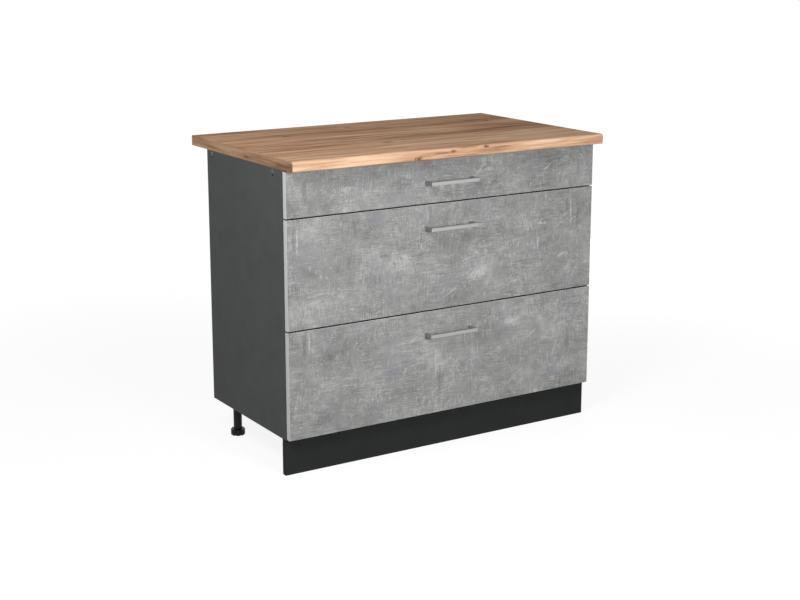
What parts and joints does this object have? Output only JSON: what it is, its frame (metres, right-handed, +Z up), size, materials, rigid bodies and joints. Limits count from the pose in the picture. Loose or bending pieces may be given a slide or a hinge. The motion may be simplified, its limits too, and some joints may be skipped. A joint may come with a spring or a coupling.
{
  "type": "kitchen base cabinet with drawers",
  "caption": "Wide kitchen base cabinet with a shallow drawer above deep ones, bar handles, dark sides, a wood-look worktop, a plinth and adjustable feet.",
  "frame": {"origin": "on the floor, under the middle of the worktop", "axes": "+X to the right along the width, +Y from the fronts to the back, +Z up"},
  "size_m": [1, 0.6, 0.848],
  "materials": {
    "oak_decor": "satin",
    "dark_board": "matte",
    "plinth_board": "matte",
    "concrete_decor": "matte",
    "drawer_board": "matte",
    "fibre_board": "matte",
    "beech": "matte",
    "coated_steel": "satin",
    "zinc_steel": "satin",
    "cam_zinc": "satin",
    "handle_metal": "satin",
    "black_plastic": "satin",
    "nylon": "satin"
  },
  "bodies": {
    "carcass": {"worktop": "oak_decor", "worktop_end_bands": "oak_decor", "side_panel_left": "dark_board", "side_panel_right": "dark_board", "bottom_panel": "dark_board", "front_rail": "dark_board", "rear_rail": "dark_board", "back_panel": "fibre_board", "plinth_panel": "plinth_board", "plinth_clips": "black_plastic", "foot_sockets": "black_plastic", "foot_tubes": "black_plastic", "confirmat_screws": "zinc_steel", "cam_connectors": "cam_zinc", "wood_dowels": "beech", "worktop_screws": "zinc_steel", "chipboard_screws": "zinc_steel", "cabinet_rails_bottom": "coated_steel", "cabinet_rails_middle": "coated_steel", "cabinet_rails_top": "coated_steel"},
    "foot_front_left": {"foot_front_left": "black_plastic"},
    "foot_front_right": {"foot_front_right": "black_plastic"},
    "foot_rear_left": {"foot_rear_left": "black_plastic"},
    "foot_rear_right": {"foot_rear_right": "black_plastic"},
    "drawer_bottom": {"drawer_front_bottom": "concrete_decor", "drawer_side_bottom_left": "coated_steel", "drawer_side_bottom_right": "coated_steel", "drawer_bottom_bottom": "drawer_board", "drawer_back_bottom": "drawer_board", "front_brackets_bottom": "zinc_steel", "drawer_screws_bottom": "zinc_steel", "handle_bottom": "handle_metal"},
    "cabinet_roller_bottom_left": {"cabinet_roller_bottom_left": "nylon"},
    "drawer_roller_bottom_left": {"drawer_roller_bottom_left": "nylon"},
    "cabinet_roller_bottom_right": {"cabinet_roller_bottom_right": "nylon"},
    "drawer_roller_bottom_right": {"drawer_roller_bottom_right": "nylon"},
    "drawer_middle": {"drawer_front_middle": "concrete_decor", "drawer_side_middle_left": "coated_steel", "drawer_side_middle_right": "coated_steel", "drawer_bottom_middle": "drawer_board", "drawer_back_middle": "drawer_board", "front_brackets_middle": "zinc_steel", "drawer_screws_middle": "zinc_steel", "handle_middle": "handle_metal"},
    "cabinet_roller_middle_left": {"cabinet_roller_middle_left": "nylon"},
    "drawer_roller_middle_left": {"drawer_roller_middle_left": "nylon"},
    "cabinet_roller_middle_right": {"cabinet_roller_middle_right": "nylon"},
    "drawer_roller_middle_right": {"drawer_roller_middle_right": "nylon"},
    "drawer_top": {"drawer_front_top": "concrete_decor", "drawer_side_top_left": "coated_steel", "drawer_side_top_right": "coated_steel", "drawer_bottom_top": "drawer_board", "drawer_back_top": "drawer_board", "front_brackets_top": "zinc_steel", "drawer_screws_top": "zinc_steel", "handle_top": "handle_metal"},
    "cabinet_roller_top_left": {"cabinet_roller_top_left": "nylon"},
    "drawer_roller_top_left": {"drawer_roller_top_left": "nylon"},
    "cabinet_roller_top_right": {"cabinet_roller_top_right": "nylon"},
    "drawer_roller_top_right": {"drawer_roller_top_right": "nylon"}
  },
  "joints": [
    {"name": "foot_front_left_height", "type": "slide", "parent": "carcass", "child": "foot_front_left", "axis": [0, 0, -1], "range_m": [0, 0.025]},
    {"name": "foot_front_right_height", "type": "slide", "parent": "carcass", "child": "foot_front_right", "axis": [0, 0, -1], "range_m": [0, 0.025]},
    {"name": "foot_rear_left_height", "type": "slide", "parent": "carcass", "child": "foot_rear_left", "axis": [0, 0, -1], "range_m": [0, 0.025]},
    {"name": "foot_rear_right_height", "type": "slide", "parent": "carcass", "child": "foot_rear_right", "axis": [0, 0, -1], "range_m": [0, 0.025]},
    {"name": "drawer_bottom_slide", "type": "slide", "parent": "carcass", "child": "drawer_bottom", "axis": [0, -1, 0], "range_m": [0, 0.3]},
    {"name": "cabinet_roller_bottom_left_spin", "type": "hinge", "parent": "carcass", "child": "cabinet_roller_bottom_left", "pos_m": [-0.4788, -0.224, 0.1349], "axis": [1, 0, 0], "range_deg": [0, 1564.6]},
    {"name": "drawer_roller_bottom_left_spin", "type": "hinge", "parent": "drawer_bottom", "child": "drawer_roller_bottom_left", "pos_m": [-0.4757, 0.15, 0.1335], "axis": [1, 0, 0], "range_deg": [0, 1720.9]},
    {"name": "cabinet_roller_bottom_right_spin", "type": "hinge", "parent": "carcass", "child": "cabinet_roller_bottom_right", "pos_m": [0.4788, -0.224, 0.1349], "axis": [1, 0, 0], "range_deg": [0, 1564.6]},
    {"name": "drawer_roller_bottom_right_spin", "type": "hinge", "parent": "drawer_bottom", "child": "drawer_roller_bottom_right", "pos_m": [0.4757, 0.15, 0.1335], "axis": [1, 0, 0], "range_deg": [0, 1720.9]},
    {"name": "drawer_middle_slide", "type": "slide", "parent": "carcass", "child": "drawer_middle", "axis": [0, -1, 0], "range_m": [0, 0.3]},
    {"name": "cabinet_roller_middle_left_spin", "type": "hinge", "parent": "carcass", "child": "cabinet_roller_middle_left", "pos_m": [-0.4788, -0.224, 0.4314], "axis": [1, 0, 0], "range_deg": [0, 1564.6]},
    {"name": "drawer_roller_middle_left_spin", "type": "hinge", "parent": "drawer_middle", "child": "drawer_roller_middle_left", "pos_m": [-0.4757, 0.15, 0.43], "axis": [1, 0, 0], "range_deg": [0, 1720.9]},
    {"name": "cabinet_roller_middle_right_spin", "type": "hinge", "parent": "carcass", "child": "cabinet_roller_middle_right", "pos_m": [0.4788, -0.224, 0.4314], "axis": [1, 0, 0], "range_deg": [0, 1564.6]},
    {"name": "drawer_roller_middle_right_spin", "type": "hinge", "parent": "drawer_middle", "child": "drawer_roller_middle_right", "pos_m": [0.4757, 0.15, 0.43], "axis": [1, 0, 0], "range_deg": [0, 1720.9]},
    {"name": "drawer_top_slide", "type": "slide", "parent": "carcass", "child": "drawer_top", "axis": [0, -1, 0], "range_m": [0, 0.3]},
    {"name": "cabinet_roller_top_left_spin", "type": "hinge", "parent": "carcass", "child": "cabinet_roller_top_left", "pos_m": [-0.4788, -0.224, 0.7279], "axis": [1, 0, 0], "range_deg": [0, 1564.6]},
    {"name": "drawer_roller_top_left_spin", "type": "hinge", "parent": "drawer_top", "child": "drawer_roller_top_left", "pos_m": [-0.4757, 0.15, 0.7265], "axis": [1, 0, 0], "range_deg": [0, 1720.9]},
    {"name": "cabinet_roller_top_right_spin", "type": "hinge", "parent": "carcass", "child": "cabinet_roller_top_right", "pos_m": [0.4788, -0.224, 0.7279], "axis": [1, 0, 0], "range_deg": [0, 1564.6]},
    {"name": "drawer_roller_top_right_spin", "type": "hinge", "parent": "drawer_top", "child": "drawer_roller_top_right", "pos_m": [0.4757, 0.15, 0.7265], "axis": [1, 0, 0], "range_deg": [0, 1720.9]}
  ],
  "couplings": [
    {"joint": "cabinet_roller_bottom_left_spin", "follows": "drawer_bottom_slide", "rad_per_m": 90.909},
    {"joint": "drawer_roller_bottom_left_spin", "follows": "drawer_bottom_slide", "rad_per_m": 100},
    {"joint": "cabinet_roller_bottom_right_spin", "follows": "drawer_bottom_slide", "rad_per_m": 90.909},
    {"joint": "drawer_roller_bottom_right_spin", "follows": "drawer_bottom_slide", "rad_per_m": 100},
    {"joint": "cabinet_roller_middle_left_spin", "follows": "drawer_middle_slide", "rad_per_m": 90.909},
    {"joint": "drawer_roller_middle_left_spin", "follows": "drawer_middle_slide", "rad_per_m": 100},
    {"joint": "cabinet_roller_middle_right_spin", "follows": "drawer_middle_slide", "rad_per_m": 90.909},
    {"joint": "drawer_roller_middle_right_spin", "follows": "drawer_middle_slide", "rad_per_m": 100},
    {"joint": "cabinet_roller_top_left_spin", "follows": "drawer_top_slide", "rad_per_m": 90.909},
    {"joint": "drawer_roller_top_left_spin", "follows": "drawer_top_slide", "rad_per_m": 100},
    {"joint": "cabinet_roller_top_right_spin", "follows": "drawer_top_slide", "rad_per_m": 90.909},
    {"joint": "drawer_roller_top_right_spin", "follows": "drawer_top_slide", "rad_per_m": 100}
  ]
}
